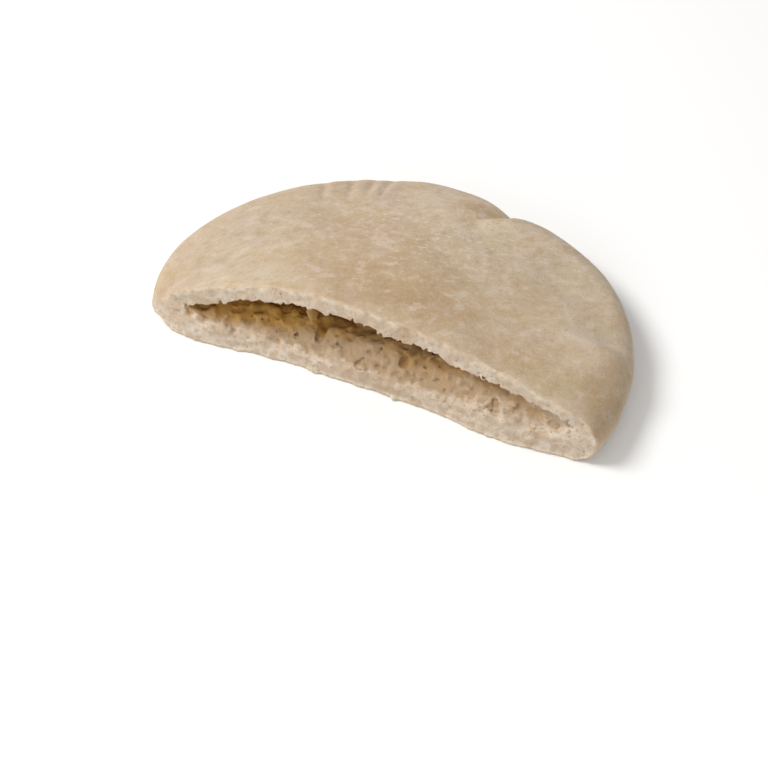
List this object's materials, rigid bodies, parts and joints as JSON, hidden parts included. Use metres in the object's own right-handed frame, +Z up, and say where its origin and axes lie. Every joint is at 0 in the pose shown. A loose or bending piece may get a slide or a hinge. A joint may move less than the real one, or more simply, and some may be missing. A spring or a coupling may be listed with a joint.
{
  "type": "pita bread half",
  "caption": "Half of a round pocket pita cut straight across, lying flat, with its pocket open at the cut under an arched thin upper wall and a thick rounded rim.",
  "frame": {"origin": "on the flat underside, below the middle of the half's bounding box", "axes": "+X along the cut, +Y from the cut to the round back, +Z up out of the top crust"},
  "size_m": [0.1528, 0.0849, 0.0307],
  "materials": {
    "crust": "matte floury baked crust, pale tan with browner patches; open cream crumb at the cut and in the pocket"
  },
  "bodies": {
    "root": {"half_pita": "crust"}
  },
  "joints": []
}
